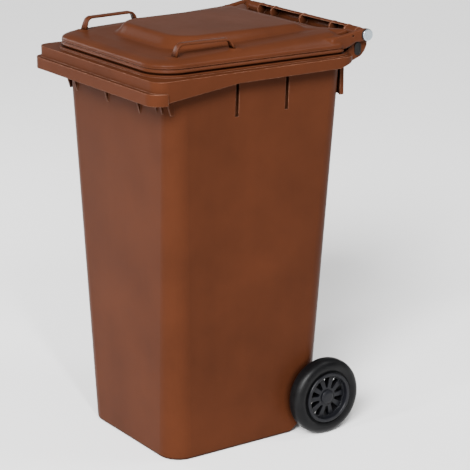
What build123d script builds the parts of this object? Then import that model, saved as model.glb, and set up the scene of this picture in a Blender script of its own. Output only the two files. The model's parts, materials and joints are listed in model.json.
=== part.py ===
from build123d import *
import os
from math import atan2, degrees, hypot, sqrt

# Two-wheeled refuse bin, 240 litre class.  Millimetres.
# Origin: centre of the footprint on the ground.  +Z up, front -Y, wheels and grip +Y.
# Parts that come in pairs are built on the right (+X) and mirrored.

CLEAR = 5.0  # how far a cutting shape runs past the solid that it cuts
OVERLAP = 1.0  # how far shapes that are joined reach into each other

# Tub: a tapered box with rounded upright corners
WALL = 4.0
FLOOR_Z = 6.0
TUB_TOP_Z = 993.0
BASE_HALF_X, TOP_HALF_X = 202.0, 254.0
BASE_FRONT_Y, TOP_FRONT_Y = -224.0, -248.0
BASE_REAR_Y, TOP_REAR_Y = 221.0, 262.0
BASE_CORNER_R, TOP_CORNER_R = 58.0, 44.0
BASE_EDGE_R = 8.0

# Tilting chamfer and axle bay at the rear of the base
CHAMFER_START_Y = 131.0
CHAMFER_SLOPE = 0.724
RAMP_START_Y = 95.0
RAMP_HEAD_Z = 172.0
BAY_HALF_X = 190.0
BAY_WEB_X = 65.0
BAY_WEB_T = 6.0

# Rim, skirt and lifting lip
RIM_TOP_Z = 988.0
RIM_T, RIM_EDGE_R = 4.0, 2.5
RIM_HALF_X = 285.0
RIM_FRONT_Y, RIM_REAR_Y = -306.0, 274.0
RIM_FRONT_R, RIM_REAR_R = 32.0, 38.0
STEP_FRONT_HALF_X, STEP_REAR_HALF_X = 258.0, 272.0
STEP_FRONT_Y, STEP_REAR_Y = -286.0, 267.0
STEP_FRONT_R, STEP_REAR_R = 80.0, 30.0
STEP_H, STEP_EDGE_R = 5.0, 2.0
SKIRT_LOW_Y, SKIRT_LOW_Z = -278.0, 938.0
SKIRT_HIGH_Y, SKIRT_HIGH_Z = -76.0, 962.0
SKIRT_REAR_Y, SKIRT_REAR_Z = 220.0, 978.0
LIP_HALF_X, LIP_FRONT_Y, LIP_R = 290.0, -318.0, 36.0
LIP_LOW_Z, LIP_TOP_Z = 933.0, 961.0

# Gussets under the front of the rim
FRONT_FIN_X = (-236.0, -190.0, -40.0, 110.0)
FRONT_FIN_T = 5.0
NEST_FIN_X = (186.0, 211.0, 236.0)
FIN_FOOT_Z, NEST_FIN_FOOT_Z = 879.0, 895.0
FIN_BACK_Y, FIN_FOOT_Y = -205.0, -246.5
FIN_SLOPE, FIN_SLOPE_TOP_Z = 0.3, 953.0
CORNER_FIN_BACK = 7.0

# Tapered grooves down the side walls, below the rim
GROOVE_Y = (-60.0, 85.0)
GROOVE_W = 9.5
GROOVE_DEPTH, GROOVE_FOOT_DEPTH = 14.0, 7.0
GROOVE_LOW_Z, GROOVE_TOP_Z = 872.0, 958.0
GROOVE_OUT_X, GROOVE_WALL = 275.0, 3.5

# Rear apron between the arms
APRON_HALF_X = 236.0
APRON_REAR_Y, APRON_T = 267.0, 4.0
APRON_LOW_Z = 884.0
APRON_WEB_X, APRON_WEB_T = (-233.5, -135.0, 0.0, 135.0, 233.5), 5.0

# Chip nest under the right front of the rim
NEST_X, NEST_Y = 148.0, -274.0
NEST_R, NEST_WALL, NEST_LOW_Z = 15.0, 4.0, 952.0
CHIP_PLUG_LOW_Z, CHIP_PLUG_T = 953.0, 9.0

# Lid hinge, arms and grip share one axis along X
HINGE_Y, HINGE_Z = 317.0, 1031.0
ARM_IN_X, ARM_OUT_X = 229.0, 245.5
ARM_KNUCKLE_R = 14.0
GRIP_R, GRIP_WALL = 15.0, 3.5
GRIP_RIB_X = (-186.0, -126.0, 0.0, 126.0, 186.0)
GRIP_RIB_T, GRIP_RIB_R = 5.0, 16.0
GRIP_MOUTH_LOW, GRIP_MOUTH_HIGH = -10.0, 12.0
ARM_WALL, ARM_BEND_R = 5.0, 4.0
# Side view of an arm as (y, z), round from the foot of the rim to the knuckle, and of its hollow
ARM_SIDE = [(222, 962), (262, 963), (286, 968), (310, 977), (322, 988), (329, 1002), (330, 1031), (304, 1034),
            (276, 1000), (256, 988), (222, 988)]
ARM_HOLLOW = [(262, 970), (286, 976), (306, 984), (315, 993), (320, 1006), (304, 1014), (284, 996),
              (268, 984)]

# Lid
LID_FRONT_HALF_X, LID_REAR_HALF_X = 254.0, 268.0
LID_FRONT_Y, LID_REAR_Y = -282.0, 254.0
LID_FRONT_R, LID_REAR_R = 76.0, 24.0
LID_WALL = 4.0
SEAT_Z, FOOT_Z, BEAD_TOP_Z, SHELL_Z = 993.5, 996.5, 1003.5, 1006.5
SEAT_INSET, NECK_INSET, DOME_INSET, BEAD_EDGE_R = 4.0, 3.0, 1.0, 2.0
SHOULDER_FRONT_Z, SHOULDER_REAR_Z = 1024.0, 1046.0
SHOULDER_FRONT_Y, SHOULDER_REAR_Y = -252.0, 247.0
SHOULDER_FRONT_HALF_X, SHOULDER_REAR_HALF_X = 224.0, 222.0
SHOULDER_R = 62.0
PLATEAU_TOP_Z = 1056.0
PLATEAU_HALF_X, PLATEAU_FRONT_Y, PLATEAU_REAR_Y = 142.0, -154.0, 190.0
PLATEAU_SPREAD = 32.0
PLATEAU_R = 62.0
CHEEK_IN_X, CHEEK_OUT_X = 248.5, 261.0
CHEEK_R = 16.0
NOTCH_IN_X, NOTCH_FRONT_Y, NOTCH_HALF_H = 227.0, 246.0, 45.0
CHEEK_HOLE_Y, CHEEK_HOLE_Z, CHEEK_HOLE_R, CHEEK_HOLE_DEPTH = 275.0, 1032.0, 2.5, 8.0
# Side view of a cheek as (y, z), and plan of the lid's right rear corner as (x, y)
CHEEK_SIDE = [(214, 998.5), (248, 1000.5), (266, 1006), (282, 1015), (313, 1016), (317, 1031), (317, 1047),
              (282, 1043), (244, 1036), (214, 1028)]
WING_PLAN = [(180, 140), (214, 140), (261, 228), (261, 256), (227, 290), (204, 272), (180, 252)]
WING_TOP = [(130, 1028), (246, 1037), (317, 1046)]  # (y, z) of the corner's upper surface

# Strap handles on the lid
STRAP_FRONT_X, STRAP_REAR_X = 208.0, 219.0
STRAP_W, STRAP_T = 18.0, 6.0
STRAP_FRONT_Y, STRAP_REAR_Y = -210.0, -54.0
STRAP_BAR_Z = 1056.0
STRAP_FOOT_Z, STRAP_REAR_RISE = 1022.0, 6.0
STRAP_LEAN = 10.0
STRAP_BEND_R = 12.0

# Hinge pins, and the bushes in the cheeks that they pass through
PIN_R, PIN_HEAD_R, PIN_HEAD_T, PIN_EDGE_R = 7.0, 14.5, 4.5, 1.5
PIN_END_X = 204.0
BUSH_R, BUSH_FLANGE_R, BUSH_FLANGE_T = 9.0, 15.6, 1.2
HEAD_GAP, RUNNING_GAP = 0.3, 0.05

# Oval plugs in the arms
PLUG_Y, PLUG_Z = 301.0, 996.0
PLUG_W, PLUG_H, PLUG_EDGE_R = 20.0, 33.0, 0.8
PLUG_PROUD, PLUG_DISH, PLUG_LIP = 1.8, 1.0, 2.0
PLUG_HOLE_DEPTH, PLUG_STEM = 9.0, 4.0

# Wheels and axle
AXLE_Y, AXLE_Z, AXLE_R = 215.0, 100.0, 10.0
AXLE_HALF_X, AXLE_CHAMFER = 260.0, 1.0
BOSS_R, BOSS_OUT_X, BOSS_PROUD = 18.0, 212.0, 3.0
WASHER_R, WASHER_T, WASHER_GAP = 17.0, 3.0, 0.2
WHEEL_IN_X, WHEEL_OUT_X = 215.6, 266.0
TYRE_R, TYRE_SEAT_R = 100.0, 63.0
TYRE_IN_X, TYRE_OUT_X = 217.0, 264.0
TYRE_SHOULDER_R = 19.0
TYRE_STEP, TYRE_BOW = 5.0, 1.0
RIM_RING_T, RIM_LIP_H, RIM_FIT = 6.0, 3.0, 0.5
WEB_X, WEB_T, WEB_DISH = 249.0, 5.0, 2.0
HUB_R = 21.0
SPOKES, SPOKE_RIB_T, SPOKE_RIB_DEPTH = 10, 3.0, 18.0
SLOT_IN_R, SLOT_OUT_R, SLOT_IN_W, SLOT_OUT_W, SLOT_EDGE_R = 25.0, 53.0, 6.0, 19.0, 2.0
WHEEL_BUSH_R = 13.0
HUB_FACE_X = 256.0
CAP_R, CAP_FACE_X, CAP_WALL, CAP_SLOPE = 19.0, 263.5, 2.2, 4.0
AXLE_CLIP_R, AXLE_CLIP_T, AXLE_CLIP_GAP = 14.5, 2.0, 0.8


def between(low, high, share):
    """Value a share of the way from low to high."""
    return low + (high - low) * share


def outline(half_x, front_y, rear_y, front_r, rear_r, inset=0.0):
    """Plan outline with its own corner radii at the front and the rear."""
    width, depth = 2 * (half_x - inset), rear_y - front_y - 2 * inset
    face = Pos(0, (front_y + rear_y) / 2) * Rectangle(width, depth)
    corners = face.vertices().sort_by(Axis.Y)
    face = fillet(corners[:2], front_r - inset)
    corners = face.vertices().sort_by(Axis.Y)
    return fillet(corners[-2:], rear_r - inset)


def flared_outline(front_half_x, rear_half_x, front_y, rear_y, front_r, rear_r, inset=0.0):
    """Plan outline that widens from the front to the rear."""
    front, rear = front_half_x - inset, rear_half_x - inset
    low_y, high_y = front_y + inset, rear_y - inset
    face = make_face(Polyline([(-front, low_y), (front, low_y), (rear, high_y), (-rear, high_y)], close=True))
    face = fillet(face.vertices().sort_by(Axis.Y)[:2], front_r - inset)
    return fillet(face.vertices().sort_by(Axis.Y)[-2:], rear_r - inset)


def slab(face, low_z, high_z):
    """Upright block with a plan outline, between two heights."""
    return extrude(Pos(0, 0, low_z) * face, high_z - low_z)


def side_prism(points, low_x, high_x):
    """Prism along X whose section is given as (y, z) points."""
    face = make_face(Polyline([(low_x, y, z) for y, z in points], close=True))
    return extrude(face, high_x - low_x, dir=(1, 0, 0))


def front_prism(points, low_y, high_y):
    """Prism along Y whose section is given as (x, z) points."""
    face = make_face(Polyline([(x, low_y, z) for x, z in points], close=True))
    return extrude(face, high_y - low_y, dir=(0, 1, 0))


def rod(radius, low_x, high_x, y, z):
    """Round bar along X."""
    return Pos((low_x + high_x) / 2, y, z) * Rot(0, 90, 0) * Cylinder(radius, high_x - low_x)


def both_sides(part):
    """A right-hand shape together with its mirror image."""
    return part + mirror(part, about=Plane.YZ)


def tub_half_x(z):
    """Half width of the tub's outside at a height."""
    return between(BASE_HALF_X, TOP_HALF_X, z / TUB_TOP_Z)


def tub_rear_y(z):
    """Rear face of the tub's outside at a height."""
    return between(BASE_REAR_Y, TOP_REAR_Y, z / TUB_TOP_Z)


def tub_section(z, inset):
    """Plan of the tub at a height, drawn in by inset."""
    share = z / TUB_TOP_Z
    corner = between(BASE_CORNER_R, TOP_CORNER_R, share)
    front_y = between(BASE_FRONT_Y, TOP_FRONT_Y, share)
    face = outline(tub_half_x(z), front_y, tub_rear_y(z), corner, corner, inset)
    return Pos(0, 0, z) * face


def tub_outside():
    """Solid tub with a rounded foot, cut back below the rear so that the bin can tilt."""
    block = loft([tub_section(0, 0), tub_section(TUB_TOP_Z, 0)], ruled=True)
    block = fillet(block.edges().group_by(Axis.Z)[0], BASE_EDGE_R)
    rise = CHAMFER_SLOPE * (RIM_REAR_Y - CHAMFER_START_Y)
    section = [(CHAMFER_START_Y, 0), (RIM_REAR_Y, rise), (RIM_REAR_Y, -CLEAR), (CHAMFER_START_Y, -CLEAR)]
    return block - side_prism(section, -RIM_HALF_X, RIM_HALF_X)


def ramp_points(drop):
    """Line of the sloping rear floor, moved down by drop, from its foot to its head."""
    run, rise = tub_rear_y(RAMP_HEAD_Z) - RAMP_START_Y, RAMP_HEAD_Z - FLOOR_Z
    length = hypot(run, rise)
    off_y, off_z = drop * rise / length, -drop * run / length
    foot = (RAMP_START_Y + off_y, FLOOR_Z + off_z)
    head = (tub_rear_y(RAMP_HEAD_Z) + off_y, RAMP_HEAD_Z + off_z)
    return foot, head


def cavity():
    """Inside of the tub, above the floor and the ramp."""
    inside = loft([tub_section(FLOOR_Z, WALL), tub_section(TUB_TOP_Z + CLEAR, WALL)], ruled=True)
    foot, head = ramp_points(0)
    section = [foot, head, (RIM_REAR_Y, head[1]), (RIM_REAR_Y, 0), (foot[0], 0)]
    return inside - side_prism(section, -RIM_HALF_X, RIM_HALF_X)


def axle_bay():
    """Recess below the ramp, open downwards and to the rear, split by two webs."""
    foot, head = ramp_points(WALL)
    slope = (head[1] - foot[1]) / (head[0] - foot[0])
    low = (foot[0] - (foot[1] + CLEAR) / slope, -CLEAR)
    section = [low, head, (RIM_REAR_Y, head[1]), (RIM_REAR_Y, -CLEAR)]
    inner = BAY_WEB_X - BAY_WEB_T / 2
    outer = BAY_WEB_X + BAY_WEB_T / 2
    return side_prism(section, -inner, inner) + both_sides(side_prism(section, outer, BAY_HALF_X))


def axle_bosses():
    """Collars that carry the axle, on the bay's webs and on its side walls."""
    reach = BAY_WEB_T / 2 + BOSS_PROUD
    web = rod(BOSS_R, BAY_WEB_X - reach, BAY_WEB_X + reach, AXLE_Y, AXLE_Z)
    end = rod(BOSS_R, BAY_HALF_X, BOSS_OUT_X, AXLE_Y, AXLE_Z)
    return both_sides(web) + both_sides(end)


def rim_outline(inset):
    """Plan of the rim's outer edge."""
    return outline(RIM_HALF_X, RIM_FRONT_Y, RIM_REAR_Y, RIM_FRONT_R, RIM_REAR_R, inset)


def step_outline(inset):
    """Plan of the raised step that the lid sits on."""
    return flared_outline(STEP_FRONT_HALF_X, STEP_REAR_HALF_X, STEP_FRONT_Y, STEP_REAR_Y, STEP_FRONT_R,
                          STEP_REAR_R, inset)


def rim():
    """Flat rim with a raised inner step, and the skirt that hangs from its edge."""
    plate = slab(rim_outline(0), RIM_TOP_Z - RIM_T, RIM_TOP_Z)
    plate = fillet(plate.edges().group_by(Axis.Z)[-1], RIM_EDGE_R)
    step = slab(step_outline(0), RIM_TOP_Z - RIM_T, RIM_TOP_Z + STEP_H)
    step = fillet(step.edges().group_by(Axis.Z)[-1], STEP_EDGE_R)
    under = slab(step_outline(RIM_T), RIM_TOP_Z - RIM_T, RIM_TOP_Z + STEP_H - RIM_T)
    band = slab(rim_outline(0), LIP_LOW_Z, RIM_TOP_Z) - slab(rim_outline(RIM_T), LIP_LOW_Z, RIM_TOP_Z)
    ahead_y = RIM_FRONT_Y - CLEAR
    side_view = [(ahead_y, LIP_TOP_Z - RIM_T), (SKIRT_LOW_Y, LIP_TOP_Z - RIM_T), (SKIRT_LOW_Y, SKIRT_LOW_Z),
                 (SKIRT_HIGH_Y, SKIRT_HIGH_Z), (SKIRT_REAR_Y, SKIRT_HIGH_Z), (RIM_REAR_Y, SKIRT_REAR_Z),
                 (RIM_REAR_Y, RIM_TOP_Z), (ahead_y, RIM_TOP_Z)]
    return plate + (step - under) + (band & side_prism(side_view, -RIM_HALF_X - CLEAR, RIM_HALF_X + CLEAR))


def lip():
    """Lifting lip along the front, set forward of the rim and wrapped round its corners."""
    def plan(inset):
        return outline(LIP_HALF_X, LIP_FRONT_Y, 0, LIP_R, LIP_R, inset)
    band = slab(plan(0), LIP_LOW_Z, LIP_TOP_Z) - slab(plan(RIM_T), LIP_LOW_Z, LIP_TOP_Z - RIM_T)
    band -= slab(rim_outline(RIM_T), LIP_LOW_Z, LIP_TOP_Z)
    front_only = Pos(0, (LIP_FRONT_Y + SKIRT_LOW_Y) / 2, (LIP_LOW_Z + LIP_TOP_Z) / 2) * Box(
        2 * (LIP_HALF_X + CLEAR), SKIRT_LOW_Y - LIP_FRONT_Y, LIP_TOP_Z - LIP_LOW_Z)
    return band & front_only


def fin(x, foot_z, back=0.0):
    """Upright gusset in front of the tub, blunt at its foot and sloping out to the lip."""
    under = RIM_TOP_Z - RIM_T
    foot_y = FIN_FOOT_Y + back
    out_y = foot_y - FIN_SLOPE * (FIN_SLOPE_TOP_Z - foot_z)
    points = [(FIN_BACK_Y, foot_z), (foot_y, foot_z), (out_y, FIN_SLOPE_TOP_Z), (out_y, under),
              (FIN_BACK_Y, under)]
    return side_prism(points, x - FRONT_FIN_T / 2, x + FRONT_FIN_T / 2)


def fins():
    """Gussets between the tub and the lip, closer together beside the chip nest."""
    group = fin(FRONT_FIN_X[0], FIN_FOOT_Z, CORNER_FIN_BACK)
    for x in FRONT_FIN_X[1:]:
        group += fin(x, FIN_FOOT_Z)
    for x in NEST_FIN_X:
        group += fin(x, NEST_FIN_FOOT_Z, CORNER_FIN_BACK if x == NEST_FIN_X[-1] else 0)
    return group


def groove(y, grow):
    """Tapered slot in the side wall, or with grow the rib inside that it is sunk into."""
    deep_x = tub_half_x(GROOVE_TOP_Z) - GROOVE_DEPTH - grow
    foot_x = tub_half_x(GROOVE_LOW_Z) - GROOVE_FOOT_DEPTH - grow
    top, low = GROOVE_TOP_Z + grow, GROOVE_LOW_Z - grow
    points = [(foot_x, low), (GROOVE_OUT_X, low), (GROOVE_OUT_X, top), (deep_x, top)]
    half = GROOVE_W / 2 + grow
    return both_sides(front_prism(points, y - half, y + half))


def apron():
    """Plate across the back below the rim, stood off the tub on upright webs."""
    top = RIM_TOP_Z - RIM_T
    mid_z, height = (APRON_LOW_Z + top) / 2, top - APRON_LOW_Z
    plate = Pos(0, APRON_REAR_Y - APRON_T / 2, mid_z) * Box(2 * APRON_HALF_X, APRON_T, height)
    depth = APRON_REAR_Y - tub_rear_y(APRON_LOW_Z) + WALL / 2
    for x in APRON_WEB_X:
        plate += Pos(x, APRON_REAR_Y - depth / 2, mid_z) * Box(APRON_WEB_T, depth, height)
    return plate


def chip_nest():
    """Round socket under the rim that takes the identification chip."""
    top = RIM_TOP_Z - RIM_T
    tube = slab(Pos(NEST_X, NEST_Y) * Circle(NEST_R + NEST_WALL), NEST_LOW_Z, top)
    return tube - slab(Pos(NEST_X, NEST_Y) * Circle(NEST_R), NEST_LOW_Z, top)


def arm():
    """Right arm, from the rim's rear corner up to its knuckle, open on its inner side."""
    block = side_prism(ARM_SIDE, ARM_IN_X, ARM_OUT_X)
    block = fillet(block.edges().filter_by(Axis.X).group_by(Axis.Z)[1], ARM_BEND_R)
    block += rod(ARM_KNUCKLE_R, ARM_IN_X, ARM_OUT_X, HINGE_Y, HINGE_Z)
    return block - side_prism(ARM_HOLLOW, ARM_IN_X, ARM_OUT_X - ARM_WALL)


def grip():
    """Channel between the arms, open to the front, closed at intervals by round ribs."""
    tube = rod(GRIP_R, -ARM_IN_X, ARM_IN_X, HINGE_Y, HINGE_Z)
    tube -= rod(GRIP_R - GRIP_WALL, -ARM_IN_X, ARM_IN_X, HINGE_Y, HINGE_Z)
    mouth_z, mouth_h = HINGE_Z + (GRIP_MOUTH_LOW + GRIP_MOUTH_HIGH) / 2, GRIP_MOUTH_HIGH - GRIP_MOUTH_LOW
    tube -= Pos(0, HINGE_Y - GRIP_R, mouth_z) * Box(2 * ARM_IN_X, 2 * GRIP_R, mouth_h)
    tube += both_sides(rod(GRIP_R, GRIP_RIB_X[-1], ARM_IN_X, HINGE_Y, HINGE_Z))
    for x in GRIP_RIB_X:
        tube += rod(GRIP_RIB_R, x - GRIP_RIB_T / 2, x + GRIP_RIB_T / 2, HINGE_Y, HINGE_Z)
    return tube


def plug_shape(grow, low_x, high_x):
    """Upright oval along X, the plug's outline widened by grow."""
    plane = Plane(origin=(low_x, PLUG_Y, PLUG_Z), x_dir=(0, 1, 0), z_dir=(1, 0, 0))
    face = plane * SlotOverall(PLUG_H + 2 * grow, PLUG_W + 2 * grow, rotation=90)
    return extrude(face, high_x - low_x, dir=(1, 0, 0))


def make_body():
    """One moulding: tub, rim, lip, gussets, apron, arms and grip."""
    solid = tub_outside() + rim() + lip() + fins() + apron() + chip_nest() + both_sides(arm())
    solid -= cavity()
    solid -= axle_bay()
    solid += axle_bosses()
    for y in GROOVE_Y:
        solid = solid + (groove(y, GROOVE_WALL) & cavity()) - groove(y, 0)
    solid += grip()
    solid -= both_sides(plug_shape(-PLUG_LIP, ARM_OUT_X - PLUG_HOLE_DEPTH, ARM_OUT_X + CLEAR))
    solid -= both_sides(rod(PIN_R, PIN_END_X, ARM_OUT_X + CLEAR, HINGE_Y, HINGE_Z))
    solid -= rod(AXLE_R, -BOSS_OUT_X - CLEAR, BOSS_OUT_X + CLEAR, AXLE_Y, AXLE_Z)
    return solid


def lid_outline(inset):
    """Plan of the lid's lower edge."""
    return flared_outline(LID_FRONT_HALF_X, LID_REAR_HALF_X, LID_FRONT_Y, LID_REAR_Y, LID_FRONT_R, LID_REAR_R,
                          inset)


def shoulder_face(inset):
    """Top of the lid's shell, a trapezium on a plane that rises to the rear."""
    rise = SHOULDER_REAR_Z - SHOULDER_FRONT_Z
    run = SHOULDER_REAR_Y - SHOULDER_FRONT_Y
    tilt = degrees(atan2(rise, run))
    length = hypot(run, rise)
    front, rear = SHOULDER_FRONT_HALF_X - inset, SHOULDER_REAR_HALF_X - inset
    face = make_face(Polyline([(-front, inset), (front, inset), (rear, length - inset),
                               (-rear, length - inset)], close=True))
    corners = face.vertices().sort_by(Axis.Y)
    face = fillet(corners[:2], SHOULDER_R)
    corners = face.vertices().sort_by(Axis.Y)
    face = fillet(corners[-2:], LID_REAR_R)
    return Pos(0, SHOULDER_FRONT_Y, SHOULDER_FRONT_Z - inset) * Rot(tilt, 0, 0) * face


def lid_dome(inset):
    """Shell from the groove above the bead up to the shoulder."""
    low = Pos(0, 0, SHELL_Z) * lid_outline(DOME_INSET + inset)
    return loft([low, shoulder_face(inset)], ruled=True)


def lid_plateau(inset):
    """Raised middle panel with sloping sides."""
    mid_r = PLATEAU_R + PLATEAU_SPREAD
    low = outline(PLATEAU_HALF_X + PLATEAU_SPREAD, PLATEAU_FRONT_Y - PLATEAU_SPREAD,
                  PLATEAU_REAR_Y + PLATEAU_SPREAD, mid_r, PLATEAU_SPREAD, inset)
    top = outline(PLATEAU_HALF_X, PLATEAU_FRONT_Y, PLATEAU_REAR_Y, PLATEAU_R, PLATEAU_SPREAD / 2, inset)
    low, top = Pos(0, 0, SHOULDER_FRONT_Z - inset) * low, Pos(0, 0, PLATEAU_TOP_Z - inset) * top
    return loft([low, top], ruled=True)


def lid_wing(inset):
    """Right rear corner of the lid, carried back beside the arm."""
    plan = offset(make_face(Polyline(WING_PLAN, close=True)), -inset)
    block = slab(plan, SHELL_Z - OVERLAP, HINGE_Z + CHEEK_R)
    over_z = HINGE_Z + 2 * CHEEK_R
    above = [(y, z - inset) for y, z in WING_TOP] + [(WING_TOP[-1][0], over_z), (WING_TOP[0][0], over_z)]
    return block - side_prism(above, 0, CHEEK_OUT_X + CLEAR)


def lid_cheek():
    """Right cheek, the plate outside the arm that turns about the hinge pin."""
    plate = side_prism(CHEEK_SIDE, CHEEK_IN_X, CHEEK_OUT_X)
    return plate + rod(CHEEK_R, CHEEK_IN_X, CHEEK_OUT_X, HINGE_Y, HINGE_Z)


def notch(grow):
    """Gap in the lid's rear corner that the arm stands in."""
    low_x, high_x = NOTCH_IN_X - grow, CHEEK_IN_X + grow
    front_y, rear_y = NOTCH_FRONT_Y - grow, HINGE_Y + 2 * CHEEK_R
    block = Box(high_x - low_x, rear_y - front_y, 2 * NOTCH_HALF_H)
    return Pos((low_x + high_x) / 2, (front_y + rear_y) / 2, HINGE_Z) * block


def lid_bead():
    """Foot of the lid: seat ring, rounded bead and the groove above it."""
    seat = slab(lid_outline(SEAT_INSET), SEAT_Z, SHELL_Z)
    bead = slab(lid_outline(0), FOOT_Z, BEAD_TOP_Z)
    bead = fillet(bead.edges().group_by(Axis.Z)[-1], BEAD_EDGE_R)
    neck = slab(lid_outline(NECK_INSET), BEAD_TOP_Z, SHELL_Z)
    return seat + bead + neck


def strap():
    """Right strap handle: a flat bar bent down at both ends."""
    reach = hypot(STRAP_REAR_X - STRAP_FRONT_X, STRAP_REAR_Y - STRAP_FRONT_Y)
    path = FilletPolyline([(0, 0, STRAP_FOOT_Z), (0, STRAP_LEAN, STRAP_BAR_Z),
                           (0, reach - STRAP_LEAN, STRAP_BAR_Z), (0, reach, STRAP_FOOT_Z + STRAP_REAR_RISE)],
                          radius=STRAP_BEND_R)
    section = Plane(origin=path @ 0, z_dir=path % 0, x_dir=(1, 0, 0)) * Rectangle(STRAP_W, STRAP_T)
    flare = degrees(atan2(STRAP_REAR_X - STRAP_FRONT_X, reach))
    return Pos(STRAP_FRONT_X, STRAP_FRONT_Y, 0) * Rot(0, 0, -flare) * sweep(section, path=path)


def make_lid():
    """One moulding: shell, raised panel, strap handles and hinge cheeks."""
    outside = lid_bead() + lid_dome(0) + lid_plateau(0) + both_sides(lid_wing(0))
    inside = lid_dome(LID_WALL) + lid_plateau(LID_WALL) + both_sides(lid_wing(LID_WALL))
    inside += slab(lid_outline(SEAT_INSET + LID_WALL), SEAT_Z - CLEAR, SHELL_Z + OVERLAP)
    shell = outside - both_sides(notch(0)) - (inside - both_sides(notch(LID_WALL)))
    shell += both_sides(lid_cheek()) + both_sides(strap())
    shell -= both_sides(rod(BUSH_R, CHEEK_IN_X - CLEAR, CHEEK_OUT_X + CLEAR, HINGE_Y, HINGE_Z))
    hole_x = CHEEK_OUT_X - CHEEK_HOLE_DEPTH
    return shell - both_sides(rod(CHEEK_HOLE_R, hole_x, CHEEK_OUT_X + CLEAR, CHEEK_HOLE_Y, CHEEK_HOLE_Z))


def make_hinge_pin():
    """Pin pushed in from outside through bush and arm, with a domed head."""
    head_x = CHEEK_OUT_X + BUSH_FLANGE_T + HEAD_GAP
    head = rod(PIN_HEAD_R, head_x, head_x + PIN_HEAD_T, HINGE_Y, HINGE_Z)
    head = fillet(head.edges().sort_by(Axis.X)[-1:], PIN_EDGE_R)
    return head + rod(PIN_R, PIN_END_X, head_x, HINGE_Y, HINGE_Z)


def make_hinge_bush():
    """Flanged bush pressed into the lid's cheek."""
    sleeve = rod(BUSH_R, CHEEK_IN_X, CHEEK_OUT_X, HINGE_Y, HINGE_Z)
    flange = rod(BUSH_FLANGE_R, CHEEK_OUT_X, CHEEK_OUT_X + BUSH_FLANGE_T, HINGE_Y, HINGE_Z)
    hole = rod(PIN_R + RUNNING_GAP, CHEEK_IN_X, CHEEK_OUT_X + BUSH_FLANGE_T, HINGE_Y, HINGE_Z)
    return sleeve + flange - hole


def make_arm_plug():
    """Oval cap on the arm: a dished lip outside and a stem in the hole."""
    face_x = ARM_OUT_X + PLUG_PROUD
    cap = plug_shape(0, ARM_OUT_X, face_x)
    cap = fillet(cap.faces().sort_by(Axis.X)[-1].edges(), PLUG_EDGE_R)
    cap -= plug_shape(-2 * PLUG_LIP, face_x - PLUG_DISH, face_x)
    return cap + plug_shape(-PLUG_LIP, ARM_OUT_X - PLUG_STEM, ARM_OUT_X)


def make_chip_plug():
    """Round plug that closes the chip's socket."""
    return slab(Pos(NEST_X, NEST_Y) * Circle(NEST_R), CHIP_PLUG_LOW_Z, CHIP_PLUG_LOW_Z + CHIP_PLUG_T)


def make_axle():
    """Steel bar from wheel to wheel, through the collars in the axle bay."""
    bar = rod(AXLE_R, -AXLE_HALF_X, AXLE_HALF_X, AXLE_Y, AXLE_Z)
    return chamfer(bar.edges().filter_by(GeomType.CIRCLE), AXLE_CHAMFER)


def make_washer():
    """Spacer between the body's collar and the wheel."""
    low_x = BOSS_OUT_X + WASHER_GAP
    ring = rod(WASHER_R, low_x, low_x + WASHER_T, AXLE_Y, AXLE_Z)
    return ring - rod(AXLE_R, low_x, low_x + WASHER_T, AXLE_Y, AXLE_Z)


def axle_plane():
    """Plane through the axle whose first axis is X and second the radius."""
    return Plane(origin=(0, AXLE_Y, AXLE_Z), x_dir=(1, 0, 0), z_dir=(0, -1, 0))


def axle_axis():
    """Centre line of the axle."""
    return Axis((0, AXLE_Y, AXLE_Z), (1, 0, 0))


def spin(points):
    """Solid turned about the axle from an (x, radius) outline."""
    face = axle_plane() * make_face(Polyline(points, close=True))
    return revolve(face, axle_axis(), 360)


def tyre_flank(side_x, inward):
    """Edges of one flank, from the seat up to the tread: a step beside the rim, a bulge and the shoulder."""
    shoulder_r, step_r = TYRE_R - TYRE_SHOULDER_R, TYRE_SEAT_R + TYRE_STEP
    seat = (side_x + inward * TYRE_STEP, TYRE_SEAT_R)
    step = (side_x + inward * TYRE_STEP, step_r)
    rise = (side_x + inward * TYRE_BOW, (step_r + shoulder_r) / 2)
    bulge = (side_x, shoulder_r)
    tread = (side_x + inward * TYRE_SHOULDER_R, TYRE_R)
    drop = TYRE_SHOULDER_R * (1 - sqrt(0.5))
    corner = (side_x + inward * drop, TYRE_R - drop)
    return [Line(seat, step), ThreePointArc(step, rise, bulge), ThreePointArc(bulge, corner, tread)]


def make_tyre():
    """Solid rubber tyre."""
    low, high = tyre_flank(TYRE_IN_X, 1), tyre_flank(TYRE_OUT_X, -1)
    tread = Line(low[-1] @ 1, high[-1] @ 1)
    seat = Line(low[0] @ 0, high[0] @ 0)
    face = axle_plane() * make_face(low + [tread, seat] + high)
    return revolve(face, axle_axis(), 360)


def spoke_slots():
    """Tapered windows between the spokes."""
    window = make_face(Polyline([(SLOT_IN_R, -SLOT_IN_W / 2), (SLOT_OUT_R, -SLOT_OUT_W / 2),
                                 (SLOT_OUT_R, SLOT_OUT_W / 2), (SLOT_IN_R, SLOT_IN_W / 2)], close=True))
    window = fillet(window.vertices(), SLOT_EDGE_R)
    plane = Plane(origin=(WEB_X - WEB_T, AXLE_Y, AXLE_Z), x_dir=(0, 1, 0), z_dir=(1, 0, 0))
    cut = extrude(plane * window, 3 * WEB_T, dir=(1, 0, 0))
    return [cut.rotate(axle_axis(), 360 * (i + 0.5) / SPOKES) for i in range(SPOKES)]


def spoke_ribs():
    """Radial ribs behind the web, one on each spoke."""
    in_r, out_r = HUB_R - OVERLAP, TYRE_SEAT_R - OVERLAP
    rib = Pos(WEB_X - SPOKE_RIB_DEPTH / 2, AXLE_Y + (in_r + out_r) / 2, AXLE_Z) * Box(
        SPOKE_RIB_DEPTH, out_r - in_r, SPOKE_RIB_T)
    return [rib.rotate(axle_axis(), 360 * i / SPOKES) for i in range(SPOKES)]


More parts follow.
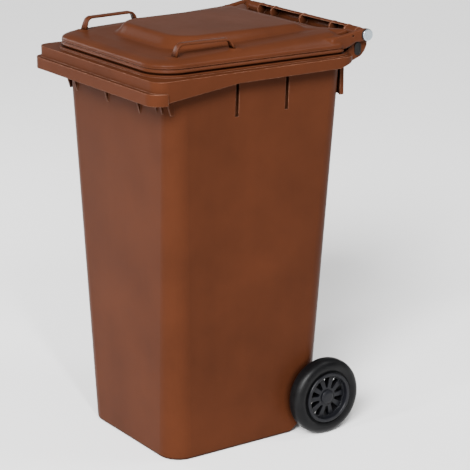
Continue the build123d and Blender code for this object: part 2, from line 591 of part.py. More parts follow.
def make_wheel_rim():
    """Moulded wheel centre: ring, dished web with ten spokes, and hub."""
    ring_r, lip_r = TYRE_SEAT_R - RIM_RING_T, TYRE_SEAT_R + RIM_LIP_H
    lip_x = TYRE_OUT_X - TYRE_STEP + RIM_FIT
    edge = RIM_LIP_H / 2
    ring = [(TYRE_IN_X, TYRE_SEAT_R), (TYRE_IN_X, ring_r), (WEB_X, ring_r - edge),
            (WHEEL_OUT_X - edge, ring_r), (WHEEL_OUT_X, ring_r + edge), (WHEEL_OUT_X, lip_r - edge),
            (WHEEL_OUT_X - edge, lip_r), (lip_x, lip_r - RIM_FIT), (lip_x, TYRE_SEAT_R)]
    core_r, out_r = (WHEEL_BUSH_R + HUB_R) / 2, ring_r + OVERLAP
    rear_x, front_x = WEB_X - WEB_DISH, WEB_X + WEB_T + WEB_DISH
    web = [(WEB_X, core_r), (rear_x, out_r), (rear_x + WEB_T, out_r), (front_x, HUB_R), (front_x, core_r)]
    hub = [(WHEEL_IN_X, WHEEL_BUSH_R), (HUB_FACE_X, WHEEL_BUSH_R), (HUB_FACE_X, HUB_R), (WHEEL_IN_X, HUB_R)]
    wheel = spin(ring) + (spin(web) - spoke_slots()) + spin(hub)
    for rib in spoke_ribs():
        wheel += rib
    return wheel


def make_wheel_bush():
    """Nylon sleeve in the hub that runs on the axle."""
    sleeve = rod(WHEEL_BUSH_R, WHEEL_IN_X, HUB_FACE_X, AXLE_Y, AXLE_Z)
    return sleeve - rod(AXLE_R + RUNNING_GAP, WHEEL_IN_X, HUB_FACE_X, AXLE_Y, AXLE_Z)


def make_axle_clip():
    """Retaining ring on the axle's end, outside the hub."""
    low_x = HUB_FACE_X + AXLE_CLIP_GAP
    ring = rod(AXLE_CLIP_R, low_x, low_x + AXLE_CLIP_T, AXLE_Y, AXLE_Z)
    return ring - rod(AXLE_R, low_x, low_x + AXLE_CLIP_T, AXLE_Y, AXLE_Z)


def make_hub_cap():
    """Domed cap over the clip, seated on the hub."""
    def dome(radius, face_x):
        return spin([(HUB_FACE_X, 0), (HUB_FACE_X, radius), (face_x - CAP_SLOPE, radius),
                     (face_x - CAP_SLOPE / 3, radius - CAP_SLOPE), (face_x, radius - 2 * CAP_SLOPE),
                     (face_x, 0)])
    return dome(CAP_R, CAP_FACE_X) - dome(CAP_R - CAP_WALL, CAP_FACE_X - CAP_WALL)


def write(name, part):
    """Writes one sub-part to its STEP file."""
    solids = part.solids()
    export_step(Compound(children=solids) if len(solids) > 1 else solids[0], f"parts/{name}.step")


def write_pair(name, right_part):
    """Writes a right-hand sub-part and its mirror image."""
    write(f"{name}_right", right_part)
    write(f"{name}_left", mirror(right_part, about=Plane.YZ))


os.makedirs("parts", exist_ok=True)
write("body", make_body())
write("lid", make_lid())
write("axle", make_axle())
write("chip_plug", make_chip_plug())
write_pair("hinge_pin", make_hinge_pin())
write_pair("hinge_bush", make_hinge_bush())
write_pair("arm_plug", make_arm_plug())
write_pair("axle_washer", make_washer())
write_pair("tyre", make_tyre())
write_pair("wheel_rim", make_wheel_rim())
write_pair("wheel_bush", make_wheel_bush())
write_pair("axle_clip", make_axle_clip())
write_pair("hub_cap", make_hub_cap())
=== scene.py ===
import bpy
import bmesh
import json
import math
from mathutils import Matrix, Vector


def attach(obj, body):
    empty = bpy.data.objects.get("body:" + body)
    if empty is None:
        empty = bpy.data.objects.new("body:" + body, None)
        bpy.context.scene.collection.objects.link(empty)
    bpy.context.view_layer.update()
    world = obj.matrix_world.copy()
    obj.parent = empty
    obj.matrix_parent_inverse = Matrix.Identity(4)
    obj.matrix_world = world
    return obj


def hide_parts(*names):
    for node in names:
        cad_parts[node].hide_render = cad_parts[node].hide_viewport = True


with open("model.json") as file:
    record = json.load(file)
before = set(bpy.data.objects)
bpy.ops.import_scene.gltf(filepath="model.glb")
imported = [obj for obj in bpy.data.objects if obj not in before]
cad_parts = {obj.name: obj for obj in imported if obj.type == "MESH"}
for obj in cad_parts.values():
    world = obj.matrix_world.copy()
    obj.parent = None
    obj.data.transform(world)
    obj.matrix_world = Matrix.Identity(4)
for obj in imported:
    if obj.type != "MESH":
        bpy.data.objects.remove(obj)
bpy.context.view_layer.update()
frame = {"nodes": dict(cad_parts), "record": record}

MM = 0.001

# Outlines in plan: steps round each corner and along each straight run
RING_ARC = 14
RING_RUN = 18
LEAST_CORNER_R = 0.5

# Lid, in millimetres, in the frame's axes
LID_FRONT, LID_REAR = 254.0, 268.0  # half widths at the front and rear edges
LID_Y = (-282.0, 254.0)
LID_R = (76.0, 24.0)  # front and rear corners
SEAT_Z, SHELL_Z = 993.5, 1006.5
SHELL_WALL = 3.2
SHELL_VOXEL = 2.6
SHELL_SMOOTHING = 9  # passes over the remeshed shell
UNDERSIDE_RISE = 4.0  # downward faces lower than this above the shell's edge are its open underside
UNDERSIDE_TILT = -0.5

# Edge of the dome and section of the bead: inset from the lid's outline, height
BAND = [(1.0, SHELL_Z), (1.0, 1013.0), (1.6, 1015.6), (3.4, 1017.4), (5.6, 1018.2)]
BEAD = [(8.0, SEAT_Z), (5.5, SEAT_Z), (4.4, 993.9), (4.0, 994.8), (4.0, 996.0), (3.2, 996.6), (1.6, 996.7),
        (0.6, 997.2), (0.0, 998.4), (0.0, 1000.6), (0.3, 1002.0), (1.2, 1003.2), (2.6, 1003.9),
        (3.3, 1004.6), (3.4, 1005.6), (2.6, 1006.4), (1.3, 1006.8), (0.8, 1007.6), (0.8, 1009.4),
        (2.5, 1010.4), (8.0, 1009.6)]

# Outlines on the dome: front and rear half widths, front and rear y, front and rear corner radii
SHOULDER = (222.0, 222.0, -250.0, 240.0, 66.0, 26.0)
PANEL_FOOT = (172.0, 176.0, -184.0, 222.0, 90.0, 36.0)
PANEL_TOP = (140.0, 144.0, -152.0, 190.0, 60.0, 22.0)
SHOULDER_Z = (1024.5, 1043.0)  # at the shoulder's front and rear
SHOULDER_SWELL = 0.8
PANEL_Z = 1055.5
PANEL_SWELL = 0.5
DOME_POWER = 2.2  # how fast the dome flattens towards the shoulder
CROWN_STEPS = 12

# Rear corners of the right side, as (x, y) outlines
WING_PLAN = [(180, 150), (216, 150), (236, 172), (254, 204), (261, 230), (261, 262), (248.5, 262),
             (248.5, 246), (227, 246), (227, 284), (204, 272), (180, 252)]
WING_Y = (150, 246)  # where the wing's top starts and where it steepens
WING_TOP = (1029, 1037)
WING_SLOPE = (0.083, 0.127)
RIDGE_CREST = [(96, 150), (136, 168), (196, 240), (224, 278), (224, 286), (204, 276), (150, 236), (96, 190)]
RIDGE_FOOT = [(90, 140), (146, 156), (212, 236), (226, 268), (226, 286), (200, 280), (140, 246), (84, 196)]
RIDGE_Z = (1036.0, 1044.5)  # foot and crest
RIDGE_SUNK = 2.0  # its underside, above the shell's lower edge
RIDGE_START_Y = 150
RIDGE_FALL = 0.012

# Hinge cheeks, in (y, z): below and above the round end, which is an arc about the pin
LID_HINGE = next(j for j in frame["record"]["behaviour"]["joints"] if j["name"] == "lid_hinge")
HINGE_Y, HINGE_Z = (round(v / MM, 3) for v in LID_HINGE["pos_m"][1:])
CHEEK_X = (248.5, 261.0)
CHEEK_R = 16.0
CHEEK_ARC = (-105, 100)  # degrees
CHEEK_ARC_STEPS = 10
CHEEK_UNDER = [(214, 998.5), (248, 1000.5), (266, 1006), (282, 1015)]
CHEEK_OVER = [(296, 1045), (282, 1042.5), (244, 1036), (214, 1028)]
PIN_BORE_R = 9.0
CHEEK_HOLE_R = 2.5
CHEEK_HOLE_Y, CHEEK_HOLE_Z = 275.0, HINGE_Z + 1
CUT_MARGIN = 4.0
CHEEK_HOLE_DEPTH = 8.0

# Strap handles: the right one's feet in plan, its heights and its bar
STRAP_FRONT, STRAP_REAR = (210.0, -211.0), (221.0, -54.0)
STRAP_TOP = 1056.0
STRAP_FOOT_Z = 1025.6
STRAP_REAR_RISE = 5.6  # the rear foot stands higher, on the rising dome
STRAP_LEAN = 10.0  # how far each leg leans in
STRAP_BEND = 13.0  # how far from a corner its bend starts
STRAP_BEND_STEPS = 8
STRAP_RUN_STEPS = 6
STRAP_HALF_W, STRAP_HALF_T = 9.0, 3.0
STRAP_SOFT = 1.6  # radius of the bar's edges
STRAP_SOFT_STEPS = 3
STRAP_FLARE = 0.35  # how much wider the bar is at its feet
STRAP_FLARE_RUN = 22.0
PAD_HALF_W = 14.0
PAD_SUNK, PAD_PROUD = 12.0, 2.2
# Pads under the straps' feet: x, y, half length
PADS = [(STRAP_FRONT[0], STRAP_FRONT[1] - 3, 12), (STRAP_REAR[0], STRAP_REAR[1] + 4, 13)]

# Materials: reaches, edge radii and grain depths in metres
BEVEL_SAMPLES = 6
# Reach and samples of the painted shade that darkens recesses
PAINTED_SHADE_REACH = 0.03
PAINTED_SHADE_SAMPLES = 8
PLASTIC_EDGE, SMALL_EDGE, LID_EDGE = 0.0022, 0.001, 0.003
RUBBER_EDGE, METAL_EDGE = 0.0012, 0.0008
PLASTIC_GRAIN, RUBBER_GRAIN, METAL_GRAIN = 0.00002, 0.00012, 0.00005

# Noise scales: the higher, the finer
CLOUDS, PATCHES, SCUFFS = 5.5, 16.0, 48.0
STREAK_STRETCH = (34, 34, 1.6)
PEEL_FINE, PEEL_COARSE = 520.0, 87.0
DUST, TYRE_PATCHES, TYRE_PORES = 22.0, 30.0, 700.0
SPOTS, DULLING, SCRATCHES = 180.0, 90.0, 600.0
FLOOR_CLOUDS = 2.0

# Studio, in metres, watts and degrees
FLOOR_HALF = 30.0
# Colours of the surroundings, each with the height of the direction that it is seen in
HORIZON = (0.05, (0.8, 0.79, 0.78, 1))
ZENITH = (0.13, (0.27, 0.265, 0.26, 1))
SUN_FROM = (0.62, -0.72, 0.62)
SUN_STRENGTH = 8.5
SUN_ANGLE = 22
LIGHTS = {  # place, aim, width and height, power
    "strip": ((3.2, -1.3, 3.4), (0, 0, 0.9), (0.22, 1.4), 160),
    "front": ((0.4, -3.4, 2.2), (0, 0, 0.8), (0.25, 1.8), 80),
    "rim": ((1.7, 2.1, 3.9), (0, 0.1, 0.8), (1.2, 1.6), 75),
    "fill": ((-3.4, -1.6, 1.7), (0, 0, 0.6), (2.0, 1.6), 90),
}
CAMERA_PLACE = (3.866, -2.532, 1.900)
CAMERA_YAW, CAMERA_PITCH = -55.72, -16.78
CAMERA_SENSOR, CAMERA_LENS = 36.0, 144.8


# ---------------------------------------------------------------- mesh tools

def ring(front_half, rear_half, front_y, rear_y, front_r, rear_r, inset=0.0):
    """Plan outline that widens to the rear, with the same number of points whatever its size."""
    front_half, rear_half = front_half - inset, rear_half - inset
    front_y, rear_y = front_y + inset, rear_y - inset
    radii = [front_r - inset, front_r - inset, rear_r - inset, rear_r - inset]
    corners = [Vector((-front_half, front_y)), Vector((front_half, front_y)),
               Vector((rear_half, rear_y)), Vector((-rear_half, rear_y))]
    arcs = []
    for i, corner in enumerate(corners):
        radius = max(radii[i], LEAST_CORNER_R)
        back = (corners[i - 1] - corner).normalized()
        ahead = (corners[(i + 1) % 4] - corner).normalized()
        half = back.angle(ahead) / 2
        centre = corner + (back + ahead).normalized() * (radius / math.sin(half))
        first = corner + back * (radius / math.tan(half)) - centre
        last = corner + ahead * (radius / math.tan(half)) - centre
        turn = first.angle_signed(last)
        points = []
        for k in range(RING_ARC + 1):
            angle = -turn * k / RING_ARC
            points.append(centre + Vector((first.x * math.cos(angle) - first.y * math.sin(angle),
                                           first.x * math.sin(angle) + first.y * math.cos(angle))))
        arcs.append(points)
    loop = []
    for i, points in enumerate(arcs):
        loop += points
        start, end = points[-1], arcs[(i + 1) % 4][0]
        loop += [start.lerp(end, k / RING_RUN) for k in range(1, RING_RUN)]
    return loop


def level(outline, z):
    """Outline laid at one height."""
    return [(p.x, p.y, z) for p in outline]


def part_way(a, b, share):
    """Point in plan, a share of the way from a to b."""
    return a.x + (b.x - a.x) * share, a.y + (b.y - a.y) * share


def new_object(name, mesh):
    """Object of a mesh, placed in the scene."""
    obj = bpy.data.objects.new(name, mesh)
    bpy.context.scene.collection.objects.link(obj)
    return obj


def mesh_from(name, verts, faces, smooth=True):
    """Mesh object from points in millimetres."""
    mesh = bpy.data.meshes.new(name)
    mesh.from_pydata([Vector(v) * MM for v in verts], [], faces)
    bm = bmesh.new()
    bm.from_mesh(mesh)
    bmesh.ops.recalc_face_normals(bm, faces=bm.faces)
    bm.to_mesh(mesh)
    bm.free()
    for face in mesh.polygons:
        face.use_smooth = smooth
    return new_object(name, mesh)


def loft(name, loops, closed=False, smooth=True):
    """Skin through loops of equal length, capped at both ends or, with closed, joined end to end."""
    count = len(loops[0])
    verts = [p for loop in loops for p in loop]
    faces = []
    for i in range(len(loops) if closed else len(loops) - 1):
        a, b = i * count, ((i + 1) % len(loops)) * count
        for k in range(count):
            faces.append((a + k, a + (k + 1) % count, b + (k + 1) % count, b + k))
    if not closed:
        faces.append(tuple(range(count)))
        faces.append(tuple((len(loops) - 1) * count + k for k in range(count)))
    return mesh_from(name, verts, faces, smooth)


def prism(name, points, low, high):
    """Prism along X of a closed polygon of (y, z) points."""
    return loft(name, [[(x, y, z) for y, z in points] for x in (low, high)], smooth=False)


def circle(radius, y, z, count=48):
    """Closed polygon of (y, z) points round a centre."""
    return [(y + radius * math.cos(2 * math.pi * k / count), z + radius * math.sin(2 * math.pi * k / count))
            for k in range(count)]


def mirrored(obj, name):
    """Copy of an object on the other side of the bin."""
    mesh = obj.data.copy()
    for v in mesh.vertices:
        v.co.x = -v.co.x
    mesh.flip_normals()
    return new_object(name, mesh)


def bake(obj):
    """Applies the object's modifiers to its mesh."""
    bpy.context.view_layer.update()
    graph = bpy.context.evaluated_depsgraph_get()
    mesh = bpy.data.meshes.new_from_object(obj.evaluated_get(graph))
    obj.modifiers.clear()
    obj.data = mesh
    for face in mesh.polygons:
        face.use_smooth = True
    return obj


def join(name, objs):
    """One object with all their meshes."""
    bm = bmesh.new()
    for o in objs:
        bm.from_mesh(o.data)
        mesh = o.data
        bpy.data.objects.remove(o)
        bpy.data.meshes.remove(mesh)
    mesh = bpy.data.meshes.new(name)
    bm.to_mesh(mesh)
    bm.free()
    return new_object(name, mesh)


def cut(obj, tool):
    """Takes the tool away from the object."""
    modifier = obj.modifiers.new("cut", "BOOLEAN")
    modifier.object = tool
    modifier.operation = "DIFFERENCE"
    modifier.solver = "EXACT"
    bake(obj)
    mesh = tool.data
    bpy.data.objects.remove(tool)
    bpy.data.meshes.remove(mesh)
    return obj


def ease(t):
    """Share that starts and stops gently between 0 and 1."""
    return t * t * (3 - 2 * t)


# ---------------------------------------------------------------- lid shell

def lid_ring(inset):
    """The lid's outline, drawn in by an inset."""
    return ring(LID_FRONT, LID_REAR, *LID_Y, *LID_R, inset=inset)


def shoulder_z(y):
    """Height of the dome's shoulder, which rises to the rear."""
    share = (y - SHOULDER[2]) / (SHOULDER[3] - SHOULDER[2])
    return SHOULDER_Z[0] + (SHOULDER_Z[1] - SHOULDER_Z[0]) * share


def lid_crown():
    """Solid below the lid's dome and raised panel."""
    shoulder, foot, top = ring(*SHOULDER), ring(*PANEL_FOOT), ring(*PANEL_TOP)
    loops = [level(lid_ring(inset), z) for inset, z in BAND]
    edge_inset, edge_z = BAND[-1]
    for i in range(1, CROWN_STEPS + 1):
        share = i / CROWN_STEPS
        rise = 1 - (1 - share) ** DOME_POWER
        loops.append([(*part_way(a, b, share), edge_z + (shoulder_z(b.y) - edge_z) * rise)
                      for a, b in zip(lid_ring(edge_inset), shoulder)])
    loops.append([(*part_way(a, b, 0.5), shoulder_z((a.y + b.y) / 2) + SHOULDER_SWELL)
                  for a, b in zip(shoulder, foot)])
    for i in range(CROWN_STEPS + 1):
        share = i / CROWN_STEPS
        loops.append([(*part_way(a, b, share), shoulder_z(a.y) + (PANEL_Z - shoulder_z(a.y)) * ease(share))
                      for a, b in zip(foot, top)])
    middle = (PANEL_TOP[2] + PANEL_TOP[3]) / 2
    for share in (0.75, 0.5, 0.25):
        loops.append([(p.x * share, middle + (p.y - middle) * share, PANEL_Z + PANEL_SWELL * (1 - share))
                      for p in top])
    return loft("crown", loops)


def lid_wing(side):
    """Rear corner of the lid, carried back on both sides of the arm."""
    def top(y):
        """Height of the wing's top."""
        part = 0 if y < WING_Y[1] else 1
        return WING_TOP[part] + (y - WING_Y[part]) * WING_SLOPE[part]
    loops = [[(side * x, y, SHELL_Z) for x, y in WING_PLAN], [(side * x, y, top(y)) for x, y in WING_PLAN]]
    return loft("wing", loops)


def lid_ridge(side):
    """Raised shoulder that runs from the panel's rear corner out to the cheek."""
    foot_z, crest_z = RIDGE_Z
    loops = [[(side * x, y, SHELL_Z + RIDGE_SUNK) for x, y in RIDGE_FOOT],
             [(side * x, y, foot_z) for x, y in RIDGE_FOOT],
             [(side * x, y, crest_z - (y - RIDGE_START_Y) * RIDGE_FALL) for x, y in RIDGE_CREST]]
    return loft("ridge", loops)


def lid_cheek(side):
    """Plate at the lid's rear corner, rounded about the hinge pin."""
    start, end = CHEEK_ARC
    profile = list(CHEEK_UNDER)
    for k in range(CHEEK_ARC_STEPS + 1):
        angle = math.radians(start + (end - start) * k / CHEEK_ARC_STEPS)
        profile.append((HINGE_Y + CHEEK_R * math.cos(angle), HINGE_Z + CHEEK_R * math.sin(angle)))
    low, high = sorted((side * CHEEK_X[0], side * CHEEK_X[1]))
    return prism("cheek", profile + CHEEK_OVER, low, high)


def strap_pad(side, x, y, reach):
    """Low pad on the lid where a strap's foot stands."""
    z = shoulder_z(y)
    corners = [(-PAD_HALF_W, -reach), (PAD_HALF_W, -reach), (PAD_HALF_W, reach), (-PAD_HALF_W, reach)]
    loops = [[(side * (x + i), y + j, h) for i, j in corners] for h in (z - PAD_SUNK, z + PAD_PROUD)]
    return loft("pad", loops)


def bore_cheeks(shell):
    """Bores for the hinge pins and the small blind hole in each cheek's outer face."""
    for side in (-1, 1):
        low, high = sorted((side * (CHEEK_X[0] - CUT_MARGIN), side * (CHEEK_X[1] + CUT_MARGIN)))
        cut(shell, prism("bore", circle(PIN_BORE_R, HINGE_Y, HINGE_Z), low, high))
        low, high = sorted((side * (CHEEK_X[1] - CHEEK_HOLE_DEPTH), side * (CHEEK_X[1] + CUT_MARGIN)))
        cut(shell, prism("hole", circle(CHEEK_HOLE_R, CHEEK_HOLE_Y, CHEEK_HOLE_Z, 24), low, high))


def make_lid_shell():
    """Dome, panel, rear corners and cheeks as one thin shell, open below."""
    parts = [lid_crown()]
    for side in (-1, 1):
        parts += [lid_wing(side), lid_ridge(side), lid_cheek(side)]
        parts += [strap_pad(side, *pad) for pad in PADS]
    shell = join("lid_shell", parts)
    remesh = shell.modifiers.new("remesh", "REMESH")
    remesh.mode = "VOXEL"
    remesh.voxel_size = SHELL_VOXEL * MM
    remesh.use_smooth_shade = True
    smooth = shell.modifiers.new("smooth", "SMOOTH")
    smooth.factor = 0.5
    smooth.iterations = SHELL_SMOOTHING
    bake(shell)
    bm = bmesh.new()
    bm.from_mesh(shell.data)
    under_z = (SHELL_Z + UNDERSIDE_RISE) * MM
    under = [f for f in bm.faces if f.normal.z < UNDERSIDE_TILT and f.calc_center_median().z < under_z]
    bmesh.ops.delete(bm, geom=under, context="FACES")
    bm.to_mesh(shell.data)
    bm.free()
    solid = shell.modifiers.new("wall", "SOLIDIFY")
    solid.thickness = SHELL_WALL * MM
    solid.offset = -1
    bake(shell)
    bore_cheeks(shell)
    return shell


def make_lid_bead():
    """Seat, rounded bead and the groove above it, all round the lid."""
    return loft("lid_bead", [level(lid_ring(inset), z) for inset, z in BEAD], closed=True)


def strap_path():
    """Centre line of a strap as (run, height) points, from the front foot to the rear one."""
    reach = math.hypot(STRAP_REAR[0] - STRAP_FRONT[0], STRAP_REAR[1] - STRAP_FRONT[1])
    corners = [Vector((0, STRAP_FOOT_Z)), Vector((STRAP_LEAN, STRAP_TOP)),
               Vector((reach - STRAP_LEAN, STRAP_TOP)), Vector((reach, STRAP_FOOT_Z + STRAP_REAR_RISE))]
    bends = []
    for i in (1, 2):
        back = (corners[i - 1] - corners[i]).normalized()
        ahead = (corners[i + 1] - corners[i]).normalized()
        shares = [k / STRAP_BEND_STEPS for k in range(STRAP_BEND_STEPS + 1)]
        bends.append([corners[i] + back * STRAP_BEND * (1 - share) ** 2 + ahead * STRAP_BEND * share ** 2
                      for share in shares])
    start, end = bends[0][-1], bends[1][0]
    run = [start.lerp(end, k / STRAP_RUN_STEPS) for k in range(1, STRAP_RUN_STEPS)]
    return [corners[0]] + bends[0] + run + bends[1] + [corners[3]]


def strap_section():
    """Section of the flat bar, as (across, through) points."""
    section = []
    for sx, sz, start in ((1, 1, 0), (-1, 1, 90), (-1, -1, 180), (1, -1, 270)):
        for k in range(STRAP_SOFT_STEPS + 1):
            angle = math.radians(start + 90 * k / STRAP_SOFT_STEPS)
            section.append((sx * (STRAP_HALF_W - STRAP_SOFT) + STRAP_SOFT * math.cos(angle),
                            sz * (STRAP_HALF_T - STRAP_SOFT) + STRAP_SOFT * math.sin(angle)))
    return section


def make_strap():
    """Right strap handle: a flat bar with soft edges, bent down at both ends."""
    path, section = strap_path(), strap_section()
    turn = math.atan2(STRAP_REAR[0] - STRAP_FRONT[0], STRAP_REAR[1] - STRAP_FRONT[1])
    loops = []
    for i, point in enumerate(path):
        along = (path[min(i + 1, len(path) - 1)] - path[max(i - 1, 0)]).normalized()
        normal = Vector((-along.y, along.x))
        to_foot = min((point - path[0]).length, (point - path[-1]).length)
        wide = 1.0 + STRAP_FLARE * max(0.0, 1 - to_foot / STRAP_FLARE_RUN)
        loop = []
        for across, through in section:
            run = point.x + normal.x * through
            loop.append((STRAP_FRONT[0] + across * wide * math.cos(turn) + run * math.sin(turn),
                         STRAP_FRONT[1] - across * wide * math.sin(turn) + run * math.cos(turn),
                         point.y + normal.y * through))
        loops.append(loop)
    return loft("strap_right", loops)


# ---------------------------------------------------------------- materials

def srgb(r, g, b):
    """Linear colour of an sRGB colour."""
    return tuple((c / 255 / 12.92) if c / 255 <= 0.04045 else ((c / 255 + 0.055) / 1.055) ** 2.4
                 for c in (r, g, b)) + (1.0,)


class Nodes:
    """Short-hand for building a material's node tree."""

    def __init__(self, name):
        self.material = bpy.data.materials.new(name)
        self.material.use_nodes = True
        self.tree = self.material.node_tree
        self.shader = self.tree.nodes["Principled BSDF"]
        self.coords = self.tree.nodes.new("ShaderNodeTexCoord").outputs["Object"]

    def add(self, kind, inputs=None, **settings):
        """New node with its inputs, by name, and its settings."""
        node = self.tree.nodes.new(kind)
        for key, value in settings.items():
            setattr(node, key, value)
        for key, value in (inputs or {}).items():
            self.put(node.inputs[key], value)
        return node

    def put(self, socket, value):
        """Links an output to a socket, or sets its value."""
        if isinstance(value, bpy.types.NodeSocket):
            self.tree.links.new(value, socket)
        else:
            socket.default_value = value

    def noise(self, scale, detail=3.0, rough=0.55, stretch=(1, 1, 1)):
        """Noise in the object's own coordinates."""
        mapping = self.add("ShaderNodeMapping", {"Vector": self.coords, "Scale": stretch})
        node = self.add("ShaderNodeTexNoise", {"Vector": mapping.outputs[0], "Scale": scale,
                                               "Detail": detail, "Roughness": rough})
        return node.outputs["Fac"]

    def ramp(self, fac, stops):
        """Ramp through (position, colour or grey level) stops."""
        node = self.add("ShaderNodeValToRGB", {"Fac": fac})
        band = node.color_ramp
        while len(band.elements) < len(stops):
            band.elements.new(0.5)
        for element, (position, colour) in zip(band.elements, stops):
            element.position = position
            element.color = colour if isinstance(colour, tuple) else (colour, colour, colour, 1)
        return node.outputs["Color"]

    def mix(self, fac, a, b, blend="MIX"):
        """Mix of two colours."""
        node = self.add("ShaderNodeMix", data_type="RGBA", blend_type=blend)
        self.put(node.inputs[0], fac)
        self.put(node.inputs[6], a)
        self.put(node.inputs[7], b)
        return node.outputs[2]

    def bump(self, height, distance, normal):
        """Normal with a fine relief laid on another normal."""
        return self.add("ShaderNodeBump", {"Height": height, "Distance": distance, "Strength": 1.0,
                                           "Normal": normal}).outputs["Normal"]

    def rounded(self, radius):
        """Normal with the edges eased by a radius, and a mask of where the edges are."""
        bevel = self.add("ShaderNodeBevel", {"Radius": radius}, samples=BEVEL_SAMPLES).outputs[0]
        true = self.add("ShaderNodeNewGeometry").outputs["Normal"]
        dot = self.add("ShaderNodeVectorMath", operation="DOT_PRODUCT")
        self.put(dot.inputs[0], bevel)
        self.put(dot.inputs[1], true)
        return bevel, self.ramp(dot.outputs["Value"], [(0.72, 1.0), (0.97, 0.0)])

    def painted_shade_in_recesses(self):
        """Painted shade: factor that darkens the colour in narrow recesses, where little light gets in."""
        node = self.add("ShaderNodeAmbientOcclusion", {"Distance": PAINTED_SHADE_REACH}, samples=PAINTED_SHADE_SAMPLES)
        return self.ramp(node.outputs["AO"], [(0.3, 0.3), (0.62, 1.0)])


def moulded(name, dark, light, worn_and_highlight, rough=(0.36, 0.5), ior=1.45, edge=PLASTIC_EDGE, wear_and_highlight=0.35):
    """Moulded plastic: cloudy colour, streaks down the walls, fine grain, edges lightened partly as rubbed
    wear and partly as a painted highlight, and painted shade in recesses.
    """
    n = Nodes(name)
    normal, edges = n.rounded(edge)
    clouds = n.noise(CLOUDS, 4.0)
    streaks = n.noise(1.0, 3.0, stretch=STREAK_STRETCH)
    colour = n.mix(n.ramp(clouds, [(0.32, 0.0), (0.7, 1.0)]), dark, light)
    colour = n.mix(n.ramp(streaks, [(0.35, 0.0), (0.75, 0.28)]), colour, light)
    scuffs = n.noise(SCUFFS, 5.0, 0.7)
    # Lighter colour on the edges: partly rubbed wear, partly a painted highlight
    rub_and_highlight = n.mix(1.0, edges, n.ramp(scuffs, [(0.4, 0.15), (0.68, 1.0)]), "MULTIPLY")
    rub_and_highlight = n.mix(1.0, rub_and_highlight, (wear_and_highlight, wear_and_highlight, wear_and_highlight, 1), "MULTIPLY")
    colour = n.mix(rub_and_highlight, colour, worn_and_highlight)
    # Painted shade: the colour is darkened in recesses and gaps
    colour = n.mix(1.0, colour, n.painted_shade_in_recesses(), "MULTIPLY")
    n.put(n.shader.inputs["Base Color"], colour)
    patchy = n.mix(0.5, n.noise(PATCHES, 4.0), scuffs)
    n.put(n.shader.inputs["Roughness"], n.ramp(patchy, [(0.3, rough[0]), (0.7, rough[1])]))
    peel = n.mix(0.35, n.noise(PEEL_FINE, 2.0), n.noise(PEEL_COARSE, 3.0))
    n.put(n.shader.inputs["Normal"], n.bump(peel, PLASTIC_GRAIN, normal))
    n.shader.inputs["IOR"].default_value = ior
    return n.material


def rubber(name):
    """Black tyre rubber, greyed by dust towards the tread, with edges painted lighter, partly as rubbing
    and partly as a painted highlight.
    """
    n = Nodes(name)
    normal, edges = n.rounded(RUBBER_EDGE)
    dusty = n.ramp(n.noise(DUST, 6.0, 0.65), [(0.42, 0.0), (0.75, 0.5)])
    dust = n.mix(dusty, srgb(7, 7, 8), srgb(22, 22, 22))
    # Lighter grey on the edges: partly rubbing, partly a painted highlight
    n.put(n.shader.inputs["Base Color"], n.mix(edges, dust, srgb(34, 33, 32)))
    n.put(n.shader.inputs["Roughness"], n.ramp(n.noise(TYRE_PATCHES, 5.0), [(0.3, 0.34), (0.7, 0.5)]))
    n.shader.inputs["IOR"].default_value = 1.2
    n.put(n.shader.inputs["Normal"], n.bump(n.noise(TYRE_PORES, 3.0), RUBBER_GRAIN, normal))
    return n.material


def metal(name, colour, shade, rough, scratch=(1, 1, 1)):
    """Plated steel with fine scratches and dull spots."""
    n = Nodes(name)
    normal = n.rounded(METAL_EDGE)[0]
    spots = n.noise(SPOTS, 5.0, 0.7)
    n.put(n.shader.inputs["Base Color"], n.mix(n.ramp(spots, [(0.38, 0.0), (0.72, 1.0)]), colour, shade))
    n.shader.inputs["Metallic"].default_value = 1.0
    dulling = n.ramp(n.noise(DULLING, 4.0), [(0.3, rough - 0.08), (0.7, rough + 0.1)])
    n.put(n.shader.inputs["Roughness"], dulling)
    n.put(n.shader.inputs["Normal"], n.bump(n.noise(SCRATCHES, 3.0, stretch=scratch), METAL_GRAIN, normal))
    return n.material


def paint(obj, material):
    """Gives an object one material."""
    obj.data.materials.clear()
    obj.data.materials.append(material)


# ---------------------------------------------------------------- the object

# The third colour of each plastic lightens its edges: partly rubbed wear, partly a painted highlight
BROWN = moulded("brown_plastic", srgb(55, 28, 16), srgb(64, 33, 19), srgb(200, 152, 128),
                rough=(0.285, 0.37), ior=1.085, wear_and_highlight=0.5)
LID_BROWN = moulded("brown_lid_plastic", srgb(55, 28, 16), srgb(64, 33, 19), srgb(214, 168, 144),
                    rough=(0.285, 0.34), ior=1.11, edge=LID_EDGE, wear_and_highlight=0.55)
WHEEL = moulded("wheel_plastic", srgb(12, 12, 15), srgb(20, 21, 25), srgb(52, 52, 57),
                rough=(0.285, 0.4), ior=1.24)
BLACK = moulded("black_plastic", srgb(11, 10, 10), srgb(19, 18, 18), srgb(56, 50, 48),
                rough=(0.285, 0.38), ior=1.25, edge=SMALL_EDGE)
NYLON = moulded("nylon", srgb(196, 190, 172), srgb(212, 206, 190), srgb(225, 220, 205))
RUBBER = rubber("tyre_rubber")
ZINC = metal("zinc_plate", srgb(186, 197, 204), srgb(150, 164, 172), 0.36)
STEEL = metal("galvanised_steel", srgb(182, 184, 186), srgb(140, 143, 146), 0.42, scratch=(0.1, 1, 1))

# Material of each slot that the record names
FINISHES = {
    "bin_plastic": BROWN,
    "wheel_plastic": WHEEL,
    "black_plastic": BLACK,
    "nylon": NYLON,
    "tyre_rubber": RUBBER,
    "zinc_steel": ZINC,
    "steel": STEEL,
}

for part in frame["record"]["subparts"]:
    paint(frame["nodes"][part["node"]], FINISHES[part["material_slot"]])

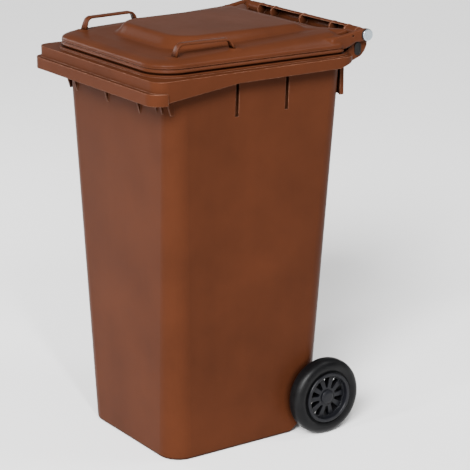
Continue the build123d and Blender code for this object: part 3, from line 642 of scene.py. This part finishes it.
shell = make_lid_shell()
bead = make_lid_bead()
strap_right = make_strap()
strap_left = mirrored(strap_right, "strap_left")
for piece in (shell, bead, strap_right, strap_left):
    paint(piece, LID_BROWN)
    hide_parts("lid")
    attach(piece, "lid")


# ---------------------------------------------------------------- floor, lights, camera

def stage_floor():
    """Wide matt floor."""
    n = Nodes("floor")
    n.put(n.shader.inputs["Base Color"],
          n.mix(n.noise(FLOOR_CLOUDS, 3.0), (0.88, 0.88, 0.88, 1), (0.9, 0.9, 0.9, 1)))
    n.shader.inputs["Roughness"].default_value = 0.9
    n.shader.inputs["Specular IOR Level"].default_value = 0.1
    half = FLOOR_HALF / MM
    floor = mesh_from("floor", [(-half, -half, 0), (half, -half, 0), (half, half, 0), (-half, half, 0)],
                      [(0, 1, 2, 3)], smooth=False)
    paint(floor, n.material)


def add_light(name, kind, facing):
    """Light that shines along a direction."""
    data = bpy.data.lights.new(name, kind)
    light = bpy.data.objects.new(name, data)
    light.rotation_euler = facing.to_track_quat("-Z", "Y").to_euler()
    bpy.context.scene.collection.objects.link(light)
    return light


def stage_world():
    """Studio surroundings, pale at the horizon and darker overhead."""
    world = bpy.data.worlds.new("studio")
    world.use_nodes = True
    tree = world.node_tree
    height = tree.nodes.new("ShaderNodeSeparateXYZ")
    tree.links.new(tree.nodes.new("ShaderNodeTexCoord").outputs["Generated"], height.inputs[0])
    fade = tree.nodes.new("ShaderNodeValToRGB")
    for element, (position, colour) in zip(fade.color_ramp.elements, (HORIZON, ZENITH)):
        element.position = position
        element.color = colour
    tree.links.new(height.outputs["Z"], fade.inputs["Fac"])
    tree.links.new(fade.outputs["Color"], tree.nodes["Background"].inputs["Color"])
    bpy.context.scene.world = world


def stage_lights():
    """One broad sun for soft shadows, and the area lights."""
    sky = add_light("sky", "SUN", -Vector(SUN_FROM))
    sky.data.energy = SUN_STRENGTH
    sky.data.angle = math.radians(SUN_ANGLE)
    for name, (place, aim, size, power) in LIGHTS.items():
        light = add_light(name, "AREA", Vector(aim) - Vector(place))
        light.location = place
        light.data.shape = "RECTANGLE"
        light.data.size, light.data.size_y = size
        light.data.energy = power


def stage_camera():
    """Camera above the bin's height, facing its front right corner."""
    data = bpy.data.cameras.new("camera")
    data.sensor_width = CAMERA_SENSOR
    data.lens = CAMERA_LENS
    camera = bpy.data.objects.new("camera", data)
    camera.location = CAMERA_PLACE
    yaw, pitch = math.radians(CAMERA_YAW), math.radians(CAMERA_PITCH)
    ahead = Vector((math.sin(yaw) * math.cos(pitch), math.cos(yaw) * math.cos(pitch), math.sin(pitch)))
    camera.rotation_euler = ahead.to_track_quat("-Z", "Y").to_euler()
    bpy.context.scene.collection.objects.link(camera)
    bpy.context.scene.camera = camera


stage_floor()
stage_world()
stage_lights()
stage_camera()
